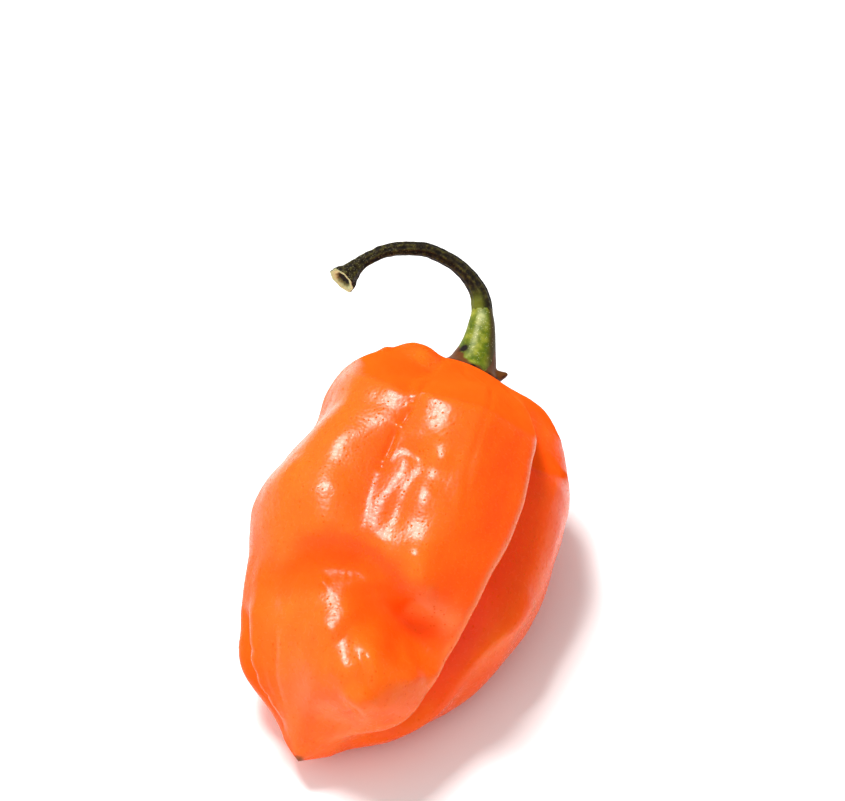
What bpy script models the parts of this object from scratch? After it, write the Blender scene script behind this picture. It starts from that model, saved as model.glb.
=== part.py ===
"""Chilli pepper of the habanero kind, picked and lying on its back: lobed fruit, calyx and stem.

Run it with: blender --background --python part.py

The pepper is modelled upright in its own frame, in millimetres: blossom tip at the origin,
+Z up the spine to the calyx, front to -Y, right to +X. An empty then lays it back on the
floor, in metres. In the finished model the floor is z = 0, the calyx points to +Y and the
origin lies under the middle of the whole pepper.
"""

import math

import bmesh
import bpy
import numpy as np
from mathutils import Matrix, Vector, noise

MM = 0.001

# How the pepper lies: laid back from upright, rolled about its spine, blossom tip off the floor.
LAID_BACK = math.radians(76.0)
ROLLED = math.radians(16.0)
TIP_IN_ROW = Vector((0.03, -33.43, 4.35))
FLOOR_SOFTNESS = 0.3

# The fruit's blank, from the middle of the calyx seat over the shoulder to the blossom tip.
# Each row: height on the spine, then how far the skin stands out left, right, front and back.
SKIN_ROWS = np.array(
    (
        (57.4, 0.0, 0.0, 0.0, 0.0),
        (57.4, 4.3, 4.3, 4.3, 4.3),
        (56.5, 7.6, 8.6, 5.6, 7.2),
        (54.9, 11.0, 11.6, 7.9, 9.8),
        (52.4, 13.8, 14.4, 11.1, 12.0),
        (49.4, 15.3, 16.5, 15.0, 13.4),
        (45.8, 15.8, 18.2, 18.3, 13.8),
        (41.0, 15.4, 19.2, 18.8, 13.8),
        (34.4, 16.9, 19.7, 18.3, 13.2),
        (27.4, 17.9, 19.7, 18.1, 12.0),
        (20.4, 15.6, 17.8, 17.0, 10.4),
        (13.4, 13.0, 14.6, 14.0, 8.8),
        (7.4, 9.8, 10.2, 9.5, 6.2),
        (3.6, 4.8, 5.0, 4.6, 3.4),
        (1.2, 1.9, 1.6, 1.8, 1.3),
        (0.0, 0.0, 0.0, 0.0, 0.0),
    )
)
# The seat and the shoulder lean to the front: this much lower for each millimetre outwards.
SHOULDER_LEAN = 0.21
SHOULDER_LEAN_FROM = 36.0
# The seat stays as flat as the calyx needs it: folds fade in between these shares of the skin.
SEAT_SHARE = 0.075
SEAT_FADE_SHARE = 0.14
FRUIT_AROUND = 72
FRUIT_ALONG = 48
RELAXING_PASSES = 2
RELAXED_DOWN_TO = 0.93
# Gentle unevenness of the skin: how far it stands out, and the size of one swell.
SWELL_DEPTH = 0.35
SWELL_SIZE = 7.0

# Folds in the skin. Each one follows a route of points (down, turn, depth): down is the
# percentage of the way from seat to tip along the skin, turn the angle round the spine in
# degrees, 0 at the front and 90 at the right, and depth is out of the skin in millimetres,
# below zero for a furrow. Going along the route, it reaches so far to its left and right.
# Edge is 2 for a soft fold and nearer 1 for a sharp one.
STEPS_PER_ROUTE_POINT = 8
SIDE_BLEND = 0.35
FOLDS = {
    "right furrow": dict(
        route=((12, 42, 0), (18, 46, -1.4), (25, 45.5, -2.6), (34, 44, -3.4), (42, 46, -3.4),
               (50, 46, -3.6), (57, 44.5, -4.0), (63, 46.5, -4.2), (68, 50.5, -3.8), (73, 54.5, -3.2),
               (78, 59, -2.8), (83, 63, -2.2), (88, 61, -1.5), (92, 53, -0.6), (95, 42, 0)),
        left=1.7, right=4.6, edge=1.7,
    ),
    "lip of the right furrow": dict(
        route=((10, 34, 0), (18, 38.5, 0.5), (25, 38, 0.8), (34, 37, 0.8), (42, 38.5, 0.8),
               (50, 38.5, 0.9), (57, 36, 1.1), (63, 38, 1.3), (68, 42, 1.5), (73, 46, 1.4),
               (78, 51, 1.3), (83, 54, 1.2), (88, 49, 1.0), (92, 36, 0.6), (95, 20, 0)),
        left=2.4, right=1.8, edge=1.8,
    ),
    "flat face between the left and the front lobe": dict(
        route=(
            (8, -28, 0), (14, -28, -0.8), (24, -27, -1.1), (36, -24, -1.3), (47, -19, -1.6),
            (55, -14, -1.8), (60, -11, -1.6), (64, -8, -1.0), (68, -4, 0),
        ),
        left=6.0, right=5.6, edge=2.6,
    ),
    "shoulder of the left lobe": dict(
        route=((10, -66, 0), (12, -54, 1.6), (13, -42, 2.0), (12, -28, 1.5), (9.5, -14, 0)),
        left=3.0, right=3.0, edge=2,
    ),
    "dent of the front lobe": dict(route=((46, 6, -0.5),), left=3.6, right=3.6, edge=2),
    "swell of the front lobe": dict(route=((62, 14, 0.9),), left=4.0, right=4.0, edge=2),
    "left furrow": dict(
        route=((8, -24, 0), (16, -25, -0.35), (24.5, -25, -0.5), (36, -22, -0.5), (47, -20, -0.4),
               (55, -17.5, -0.3), (60, -15.5, -0.35), (63.6, -12, -0.4), (66, -8, -0.2),
               (68, -4, 0)),
        left=1.8, right=1.5, edge=1.7,
    ),
    "crescent hollow": dict(
        route=((76, -62, 0), (73.5, -59, -0.8), (71.6, -54, -1.5), (70.6, -42, -2.1),
               (69.4, -31, -2.4), (69.2, -19.5, -2.5), (70.2, -8.5, -2.6), (72, 1, -2.9),
               (73.8, 11, -3.2), (74.4, 22, -3.4), (73.4, 32, -2.8), (71.5, 39, -1.3), (69.5, 46, 0)),
        left=3.9, right=3.2, edge=2,
    ),
    "dome in the hollow": dict(route=((81.2, 8, 3.2),), left=5.2, right=5.2, edge=2),
    "knob on the dome": dict(route=((83, 16, 0.5),), left=3.0, right=3.0, edge=2),
    "plain under the pit": dict(
        route=((85, 18, 0.3), (84, 26, 1.3), (82, 34, 1.5), (79, 41, 0.8), (77, 46, 0)),
        left=3.4, right=3.4, edge=2,
    ),
    "ridge under the pit": dict(
        route=((80, 5, 0), (78.4, 18, 0.9), (77, 30, 1.3), (75.4, 38, 1.2), (74, 44, 0.6), (73, 48, 0)),
        left=1.8, right=1.8, edge=1.8,
    ),
    "crest of the left lobe": dict(
        route=((10, -56, 0), (18, -52, 0.6), (28, -50, 0.8), (38, -49, 0.8), (46, -51, 0.8),
               (52, -57, 0.8), (58, -64, 0.6), (63, -69, 0.3), (68, -72, 0)),
        left=4.0, right=5.0, edge=2,
    ),
    "belly of the left lobe": dict(route=((61, -35, 0.6),), left=6.5, right=6.5, edge=2),
    "front of the left edge": dict(
        route=((66, -70, 0), (71, -67, 0.5), (76, -65, 0.8), (82, -63, 0.9), (88, -64, 0.6), (93, -62, 0)),
        left=1.8, right=1.8, edge=1.8,
    ),
    "crease of the left edge": dict(
        route=((72, -90, 0), (75, -84, -0.9), (78, -79, -1.7), (84, -76, -1.8), (90, -80, -1.0),
               (94, -76, -0.4), (96, -74, 0)),
        left=2.4, right=1.2, edge=1.7,
    ),
    "small lobe behind the left edge": dict(route=((79, -100, 0.9),), left=4.5, right=4.5, edge=2),
    "crest of the lower right lobe": dict(
        route=((52, 70, 0), (58, 67, 0.8), (63, 64, 1.0), (67, 63.5, 1.1), (71, 66, 1.1),
               (75, 72, 1.2), (79, 78, 1.3), (84, 80, 1.2), (88, 82, 0.8), (92, 82, 0)),
        left=1.8, right=1.8, edge=1.8,
    ),
    "ridge down to the tip": dict(
        route=((80, -8, 0), (86, -10, 0.5), (92, -12, 0.6), (97, -10, 0)),
        left=1.6, right=1.6, edge=1.8,
    ),
    "middle of the front lobe": dict(
        route=(
            (12, 16, 0), (18, 17, 0.1), (26, 18, 0.2), (39, 20, 0.4), (49, 22, 0.7), (57, 24, 0.9),
            (64, 27, 0.8), (67, 30, 0.4), (69, 32, 0),
        ),
        left=5.5, right=4.5, edge=2,
    ),
    "facet line of the front lobe": dict(
        route=((14, 10, 0), (24, 11.5, 0.35), (39, 13.5, 0.4), (49, 15, 0.4), (57, 18, 0)),
        left=1.6, right=1.6, edge=1.3,
    ),
    "swell of the right shoulder": dict(
        route=((10, 58, 0.4), (14, 63, 1.2), (18, 67, 1.2), (22, 70, 0.5), (26, 73, 0)),
        left=3.6, right=5.0, edge=2,
    ),
    "back furrow, right": dict(
        route=((10, 112, 0), (20, 112, -1.6), (36, 115, -2.4), (52, 118, -2.2), (66, 122, -1.5),
               (80, 120, -0.6), (86, 118, 0)),
        left=3.0, right=3.0, edge=1.7,
    ),
    "back furrow, left": dict(
        route=((10, -100, 0), (20, -104, -1.4), (36, -112, -2.4), (52, -120, -2.6), (66, -128, -1.8),
               (78, -134, -0.8), (85, -136, 0)),
        left=3.2, right=3.2, edge=1.7,
    ),
    "back furrow, middle": dict(
        route=((10, 175, 0), (20, 178, -1.2), (34, 178, -1.6), (50, 172, -1.2), (64, 168, -0.4),
               (72, 165, 0)),
        left=3.0, right=3.0, edge=1.7,
    ),
}

# The calyx stands on the seat, clear of it by a gap, and its cone bends over to meet the stem.
GAP = 0.3
CALYX_FOOT = Vector((0.0, 0.1, SKIN_ROWS[0, 0] + 0.42))
CALYX_TOP = Vector((-1.9, -2.4, 65.9))
CALYX_TOP_WAY = Vector((-0.42, -0.33, 0.85)).normalized()
# From the middle of its base over the rim and up the cone: share of the cone's length, radius.
CALYX_ROWS = (
    (0.0, 0.0), (0.0, 1.9), (0.0, 3.2), (0.0, 3.7), (0.04, 3.9), (0.085, 3.75), (0.13, 3.45),
    (0.19, 3.15), (0.28, 2.87), (0.4, 2.5), (0.53, 2.2), (0.68, 1.93), (0.83, 1.68), (0.96, 1.45),
    (1.0, 1.3), (1.0, 0.7), (1.0, 0.0),
)
CALYX_AROUND = 40
CALYX_LINE_STEPS = 100
RIM_ROWS = range(3, 7)
RIM_TEETH = 5
FIRST_TOOTH = 0.6
TOOTH_UNEVENNESS = 0.8
TOOTH_REACH = 0.35

# The stem's middle line, from the calyx over its arch to the cut end, and its radius there.
STEM_ROUTE = (
    (-1.9, -2.4, 65.9, 1.36), (-3.0, -3.1, 67.4, 1.21), (-4.4, -3.6, 68.4, 1.08),
    (-6.1, -4.1, 69.1, 0.99), (-7.8, -4.4, 69.5, 0.95), (-9.6, -4.7, 69.5, 0.94),
    (-11.5, -5.0, 69.3, 0.92), (-13.5, -5.1, 68.5, 0.9), (-15.3, -5.1, 67.5, 0.88),
    (-16.8, -5.0, 66.3, 0.86), (-17.9, -4.9, 64.9, 0.87), (-18.8, -4.8, 63.5, 0.93),
    (-19.3, -4.9, 62.0, 1.2), (-19.9, -4.9, 60.1, 1.95),
)
STEM_AROUND = 16
STEM_ALONG = 34
STEM_RIBS = 5
RIB_HEIGHT = 0.05
# The cut end, from its edge inwards: share of the end radius, and how deep the pith has shrunk.
CUT_END = ((1.0, 0.0), (0.82, -0.05), (0.55, 0.1), (0.38, 0.55), (0.0, 0.7))


def smooth(knots, values, at):
    """Cubic curve through values at knots, read at the places in at."""
    slopes = np.gradient(values, knots, axis=0)
    i = np.clip(np.searchsorted(knots, at) - 1, 0, len(knots) - 2)
    gap = (knots[i + 1] - knots[i])[:, None]
    t = (at - knots[i])[:, None] / gap
    return (
        values[i] * (1 + 2 * t) * (1 - t) ** 2
        + slopes[i] * gap * t * (1 - t) ** 2
        + values[i + 1] * t * t * (3 - 2 * t)
        + slopes[i + 1] * gap * t * t * (t - 1)
    )


def eased(amount):
    """Smooth step from 0 to 1."""
    amount = np.clip(amount, 0, 1)
    return amount * amount * (3 - 2 * amount)


def lying_rotation():
    """Turns the upright pepper into the way it lies."""
    laid = Matrix.Rotation(-LAID_BACK, 3, "X")
    return laid @ Matrix.Rotation(ROLLED, 3, "Z")


def ball_mesh(around, along):
    """A ball, with the row (0 at the first pole) and the turn of each of its vertices."""
    bm = bmesh.new()
    bmesh.ops.create_uvsphere(bm, u_segments=around, v_segments=along, radius=1.0)
    ball = np.array([v.co for v in bm.verts])
    row = np.arccos(np.clip(ball[:, 2], -1, 1)) / math.pi * along
    return bm, row, np.arctan2(ball[:, 0], -ball[:, 1])


def set_coordinates(bm, points):
    """Moves each vertex to its point, and keeps the faces pointing out."""
    for vert, point in zip(bm.verts, points):
        vert.co = point
    if bm.calc_volume(signed=True) < 0:
        bmesh.ops.reverse_faces(bm, faces=bm.faces)


def skin_knots():
    """Share of the way from the seat to the tip, along the mean profile, at each of SKIN_ROWS."""
    profile = np.stack((SKIN_ROWS[:, 0], SKIN_ROWS[:, 1:].mean(axis=1)), axis=1)
    steps = np.linalg.norm(np.diff(profile, axis=0), axis=1)
    return np.concatenate(((0.0,), np.cumsum(steps))) / steps.sum()


def blank_point(share, turn):
    """Points of the blank's skin. Turn is the angle round the spine: 0 front, 90 degrees right."""
    height, left, right, front, back = smooth(skin_knots(), SKIN_ROWS, share).T
    across, outward = np.sin(turn), np.cos(turn)
    x = across * np.where(across > 0, right, left)
    y = -outward * np.where(outward > 0, front, back)
    top = SKIN_ROWS[0, 0]
    height = height + SHOULDER_LEAN * y * eased((height - SHOULDER_LEAN_FROM) / (top - SHOULDER_LEAN_FROM))
    return np.stack((x, y, height), axis=1)


def fold_height(points, normals, route, left, right, edge):
    """How far one fold moves each point of the blank out along its normal."""
    route = np.array(route, float)
    if len(route) > 1:
        places = np.linspace(0, len(route) - 1, STEPS_PER_ROUTE_POINT * len(route))
        route = smooth(np.arange(len(route)), route, places)
    line = blank_point(route[:, 0] / 100, np.radians(route[:, 1]))
    square = (points**2).sum(1)[:, None] - 2 * points @ line.T + (line**2).sum(1)[None, :]
    nearest = square.argmin(axis=1)
    offset = points - line[nearest]
    square = (offset**2).sum(1)
    reach = left
    if len(line) > 1:
        forward = np.gradient(line, axis=0)
        forward /= np.linalg.norm(forward, axis=1)[:, None]
        step = np.linalg.norm(np.diff(line, axis=0), axis=1).max() / 2
        ahead = np.clip(np.einsum("ij,ij->i", offset, forward[nearest]), -step, step)
        inside = (nearest > 0) & (nearest < len(line) - 1)
        square = square - np.where(inside, ahead, 0) ** 2
        beside = np.einsum("ij,ij->i", offset, np.cross(normals, forward[nearest]))
        to_the_right = 0.5 + 0.5 * np.tanh(beside / (SIDE_BLEND * min(left, right)))
        reach = left + (right - left) * to_the_right
    away = np.sqrt(np.maximum(square, 0)) / reach
    return route[nearest, 2] * np.exp(-(away**edge))


def skin_height(share, points, normals):
    """How far the skin stands out from the blank at each point, for its folds and its swells."""
    folds = sum(fold_height(points, normals, **fold) for fold in FOLDS.values())
    swells = np.array([noise.noise(Vector(p) / SWELL_SIZE) for p in points]) * SWELL_DEPTH
    return (folds + swells) * eased((share - SEAT_SHARE) / (SEAT_FADE_SHARE - SEAT_SHARE))


def flattened_on_floor(points):
    """Skin that would reach below the floor is pressed flat on it, with a soft edge."""
    up = np.array(lying_rotation().row[2])
    above = points @ up + TIP_IN_ROW.z
    soft = FLOOR_SOFTNESS
    pressed = np.where(above < soft, np.maximum(above + soft, 0.0) ** 2 / (4 * soft), above)
    return points + np.outer(pressed - above, up)


def fruit_mesh():
    """The blank with its folds, relaxed so that no fold is sharper than the faces can follow."""
    bm, row, turn = ball_mesh(FRUIT_AROUND, FRUIT_ALONG)
    share = row / FRUIT_ALONG
    blank = blank_point(share, turn)
    set_coordinates(bm, blank)
    bm.normal_update()
    normals = np.array([v.normal for v in bm.verts])
    out = skin_height(share, blank, normals)
    set_coordinates(bm, blank + normals * out[:, None])
    relaxed = [vert for vert, down in zip(bm.verts, share) if down < RELAXED_DOWN_TO]
    for _ in range(RELAXING_PASSES):
        bmesh.ops.smooth_vert(
            bm, verts=relaxed, factor=0.5, use_axis_x=True, use_axis_y=True, use_axis_z=True
        )
    set_coordinates(bm, flattened_on_floor(np.array([v.co for v in bm.verts])))
    return bm


def curve_frames(points, across):
    """Directions along a curve, and two across it that turn with it as little as they can."""
    ways = np.gradient(points, axis=0)
    ways /= np.linalg.norm(ways, axis=1)[:, None]
    sides = []
    side = np.array(across, float)
    for way in ways:
        side = side - way * side.dot(way)
        side /= np.linalg.norm(side)
        sides.append(side)
    return ways, np.array(sides), np.cross(ways, sides)


def calyx_mesh():
    """Base, ragged rim and cone, with the cone's middle line bent from the seat to the stem."""
    bm, row, turn = ball_mesh(CALYX_AROUND, len(CALYX_ROWS) - 1)
    row = np.rint(row).astype(int)
    lean = Vector((0, -SHOULDER_LEAN, 1)).normalized()
    reach = (CALYX_TOP - CALYX_FOOT).length / 3
    top = CALYX_TOP - CALYX_TOP_WAY * GAP / 2
    t = np.linspace(0, 1, CALYX_LINE_STEPS + 1)[:, None]
    line = (
        np.outer((1 - t) ** 3, CALYX_FOOT)
        + np.outer(3 * t * (1 - t) ** 2, CALYX_FOOT + lean * reach)
        + np.outer(3 * t * t * (1 - t), top - CALYX_TOP_WAY * reach)
        + np.outer(t**3, top)
    )
    _, sides, fronts = curve_frames(line, (1, 0, 0))
    share, radius = np.array(CALYX_ROWS).T
    at = np.rint(share[row] * CALYX_LINE_STEPS).astype(int)
    tooth_turn = turn * RIM_TEETH + FIRST_TOOTH + TOOTH_UNEVENNESS * np.sin(2 * turn)
    teeth = np.maximum(np.cos(tooth_turn), 0) ** 2
    rim = np.isin(row, RIM_ROWS)
    out = radius[row] + np.where(rim, TOOTH_REACH * teeth, 0)
    points = (
        line[at]
        + sides[at] * (out * np.sin(turn))[:, None]
        - fronts[at] * (out * np.cos(turn))[:, None]
    )
    set_coordinates(bm, points)
    return bm


def stem_mesh():
    """Ribbed stem along its arch, wider towards the cut end, with the pith shrunk back there."""
    route = np.array(STEM_ROUTE)
    route[0, :3] += np.array(CALYX_TOP_WAY) * GAP / 2
    steps = np.linalg.norm(np.diff(route[:, :3], axis=0), axis=1)
    knots = np.concatenate(((0.0,), np.cumsum(steps)))
    line = smooth(knots, route, np.linspace(0, knots[-1], STEM_ALONG + 1))
    ways, sides, fronts = curve_frames(line[:, :3], (1, 0, 0))
    rows = [(0, 0.0, 0.0, 0.0), (0, 0.6, 0.0, 0.0)]
    rows += [(i, 1.0, 0.0, RIB_HEIGHT) for i in range(STEM_ALONG)]
    rows += [(STEM_ALONG, share, depth, 0.0) for share, depth in CUT_END]
    bm, row, turn = ball_mesh(STEM_AROUND, len(rows) - 1)
    at, share, depth, rib = np.array(rows)[np.rint(row).astype(int)].T
    at = at.astype(int)
    out = line[at, 3] * share * (1 + rib * np.cos(STEM_RIBS * turn))
    points = (
        line[at, :3]
        - ways[at] * depth[:, None]
        + sides[at] * (out * np.sin(turn))[:, None]
        - fronts[at] * (out * np.cos(turn))[:, None]
    )
    set_coordinates(bm, points)
    return bm


def add_part(name, bm, colour, roughness, holder):
    """Makes an object of the mesh, from millimetres, with its own material, held by the empty."""
    bmesh.ops.scale(bm, vec=(MM, MM, MM), verts=bm.verts)
    mesh = bpy.data.meshes.new(name)
    bm.to_mesh(mesh)
    bm.free()
    mesh.shade_smooth()
    material = bpy.data.materials.new(name)
    material.use_nodes = True
    shader = material.node_tree.nodes["Principled BSDF"]
    shader.inputs["Base Color"].default_value = (*colour, 1.0)
    shader.inputs["Roughness"].default_value = roughness
    mesh.materials.append(material)
    part = bpy.data.objects.new(name, mesh)
    part.parent = holder
    bpy.context.scene.collection.objects.link(part)


def main():
    for obj in list(bpy.data.objects):
        bpy.data.objects.remove(obj)
    holder = bpy.data.objects.new("pepper", None)
    holder.matrix_world = Matrix.Translation(TIP_IN_ROW * MM) @ lying_rotation().to_4x4()
    bpy.context.scene.collection.objects.link(holder)
    add_part("fruit", fruit_mesh(), (0.9, 0.16, 0.01), 0.3, holder)
    add_part("calyx", calyx_mesh(), (0.2, 0.34, 0.03), 0.5, holder)
    add_part("stem", stem_mesh(), (0.06, 0.07, 0.02), 0.6, holder)


if __name__ == "__main__":
    main()
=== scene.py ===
"""Ripe habanero chilli pepper, as picked and lying on a white table.

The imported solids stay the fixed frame. This script gives each of them a finer body: the fruit
with its folds, ripples and waxy skin, the calyx with its dried ragged rim, and the ribbed
stem with its cut end. The pepper is shaped upright in millimetres, blossom tip at the
origin, +Z up the spine, front to -Y, and is then laid down where the frame has it.
"""

import logging
import math
from collections.abc import Callable
from dataclasses import dataclass, replace
from enum import Enum

import bmesh
import bpy
import numpy as np
from mathutils import Matrix, Vector, noise

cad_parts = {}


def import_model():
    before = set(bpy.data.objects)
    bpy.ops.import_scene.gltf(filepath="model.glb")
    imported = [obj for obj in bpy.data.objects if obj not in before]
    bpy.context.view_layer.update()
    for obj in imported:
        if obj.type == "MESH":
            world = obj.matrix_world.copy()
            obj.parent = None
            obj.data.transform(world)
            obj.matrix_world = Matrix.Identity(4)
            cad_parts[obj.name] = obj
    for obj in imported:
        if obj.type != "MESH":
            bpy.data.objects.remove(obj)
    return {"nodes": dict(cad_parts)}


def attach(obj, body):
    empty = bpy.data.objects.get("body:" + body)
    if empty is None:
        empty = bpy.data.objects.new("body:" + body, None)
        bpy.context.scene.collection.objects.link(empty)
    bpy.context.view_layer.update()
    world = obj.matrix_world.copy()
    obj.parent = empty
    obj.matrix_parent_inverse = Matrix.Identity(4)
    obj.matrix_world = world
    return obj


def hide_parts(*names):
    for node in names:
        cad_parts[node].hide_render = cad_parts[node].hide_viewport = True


LOG = logging.getLogger("pepper")
MM = 0.001
Array = np.ndarray
Pair = tuple[float, float]
Socket = bpy.types.NodeSocket


def linear(hex_colour: str) -> tuple[float, float, float, float]:
    """Turns an sRGB hex value such as "ff7a1c" into linear RGBA."""
    channels = [int(hex_colour[i : i + 2], 16) / 255 for i in (0, 2, 4)]
    steps = [c / 12.92 if c <= 0.04045 else ((c + 0.055) / 1.055) ** 2.4 for c in channels]
    return (*steps, 1.0)


def per_metre(size_mm: float) -> float:
    """Texture scale at which one cell or wave of a pattern is size_mm wide."""
    return 1.0 / (size_mm * MM)


def eased(amount: Array) -> Array:
    """Smooth step from 0 to 1."""
    amount = np.clip(amount, 0, 1)
    return amount * amount * (3 - 2 * amount)


def rising(values: Array, start: float, end: float) -> Array:
    """Smooth step from 0 where the values reach start to 1 where they reach end."""
    return eased((values - start) / (end - start))


def curve_through(knots: Array, values: Array, at: Array) -> Array:
    """Reads a smooth cubic curve.

    Args:
        knots: rising positions along the curve.
        values: one row of values for each knot.
        at: the positions to read.

    Returns:
        One row of values for each position in at.
    """
    slopes = np.gradient(values, knots, axis=0)
    i = np.clip(np.searchsorted(knots, at) - 1, 0, len(knots) - 2)
    gap = (knots[i + 1] - knots[i])[:, None]
    t = (at - knots[i])[:, None] / gap
    return (
        values[i] * (1 + 2 * t) * (1 - t) ** 2
        + slopes[i] * gap * t * (1 - t) ** 2
        + values[i + 1] * t * t * (3 - 2 * t)
        + slopes[i + 1] * gap * t * t * (t - 1)
    )


def noise_at(points: Array, size_mm: float, shift: float = 0.0) -> Array:
    """Smooth seeded noise, about -1 to 1, whose swells are size_mm across.

    Args:
        points: rows of x, y, z in millimetres.
        size_mm: width of one swell.
        shift: another place in the noise, for a second pattern of the same size.

    Returns:
        One value for each point.
    """
    offset = Vector((shift, -shift, 0.5 * shift))
    return np.array([noise.noise(Vector(p) / size_mm + offset) for p in points])


@dataclass(frozen=True)
class LyingPose:
    """How the upright pepper is laid down in the frame."""

    laid_back_deg: float = 76.0
    rolled_deg: float = 16.0
    tip_mm: tuple[float, float, float] = (0.03, -33.43, 4.35)

    def rotation(self) -> Matrix:
        """Rotation from the upright pepper to the way it lies."""
        laid = Matrix.Rotation(-math.radians(self.laid_back_deg), 3, "X")
        return laid @ Matrix.Rotation(math.radians(self.rolled_deg), 3, "Z")

    def matrix(self) -> Matrix:
        """From upright millimetres to the frame's metres."""
        place = Matrix.Translation(Vector(self.tip_mm) * MM)
        return place @ self.rotation().to_4x4() @ Matrix.Scale(MM, 4)

    def height_of(self, points: Array) -> Array:
        """Height above the table, in millimetres, of points of the upright pepper."""
        return points @ np.array(self.rotation().row[2]) + self.tip_mm[2]

    def up(self) -> Array:
        """The table's upward direction, seen from the upright pepper."""
        return np.array(self.rotation().row[2])


class Shading:
    """A material's node tree, with one way to add to it."""

    def __init__(self, name: str) -> None:
        """Starts an empty material with an output and a Principled shader."""
        self.material = bpy.data.materials.new(name)
        self.material.use_nodes = True
        self.tree = self.material.node_tree
        self.shader = self.tree.nodes["Principled BSDF"]

    def node(
        self, kind: str, settings: dict | None = None, out: int | str = 0, **inputs: object
    ) -> Socket:
        """Adds a node with its settings and its links.

        Args:
            kind: the node's type name without its ShaderNode.
            settings: attributes to set on the node itself.
            out: number or name of the output to give back.
            **inputs: for each input, by name with spaces as underscores or by i and its number,
                a value to set or a socket to link.

        Returns:
            The new node's output.
        """
        made = self.tree.nodes.new("ShaderNode" + kind)
        for key, value in (settings or {}).items():
            setattr(made, key, value)
        self.feed(made, **inputs)
        return made.outputs[out]

    def feed(self, node: bpy.types.Node, **inputs: object) -> None:
        """Sets or links inputs of a node that is there already, named as in node()."""
        for key, value in inputs.items():
            numbered = key[0] == "i" and key[1:].isdigit()
            socket = node.inputs[int(key[1:])] if numbered else node.inputs[key.replace("_", " ")]
            if isinstance(value, Socket):
                self.tree.links.new(value, socket)
            else:
                socket.default_value = value

    def mark(self, mark: "Mark") -> Socket:
        """The value of a mark on the mesh."""
        return self.node("Attribute", {"attribute_name": mark.value}, "Fac")

    def mixed(self, amount: Socket, below: Socket, above: str) -> Socket:
        """Lays a hex colour over another colour by an amount of 0 to 1."""
        return self.node("Mix", {"data_type": "RGBA"}, 2, i0=amount, i6=below, i7=linear(above))

    def ramp(self, factor: Socket, *stops: tuple[float, str]) -> Socket:
        """A colour ramp over factor, from stops of (place, hex colour), as its colour socket."""
        colour = self.node("ValToRGB", Fac=factor)
        elements = colour.node.color_ramp.elements
        while len(elements) < len(stops):
            elements.new(0.5)
        for element, (place, shade) in zip(elements, stops):
            element.position = place
            element.color = linear(shade)
        return colour


class Mark(Enum):
    """Values of 0 to 1 painted on the meshes, which the finishes read."""

    HOLLOW_SHADE = "hollow"
    SCAR = "scar"
    PAINTED_LIT_SIDE = "painted_lit_side"
    WAX = "wax"
    PAINTED_SHEEN = "painted_sheen"
    DRIED = "dried"
    BURNT = "burnt"
    SUNNY = "sunny"
    HIGHLIGHT_AND_SPECKS = "pale"
    ALONG = "along"
    RIB = "rib"
    DEPTH_SHADE = "depth"
    GREEN = "green"


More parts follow.
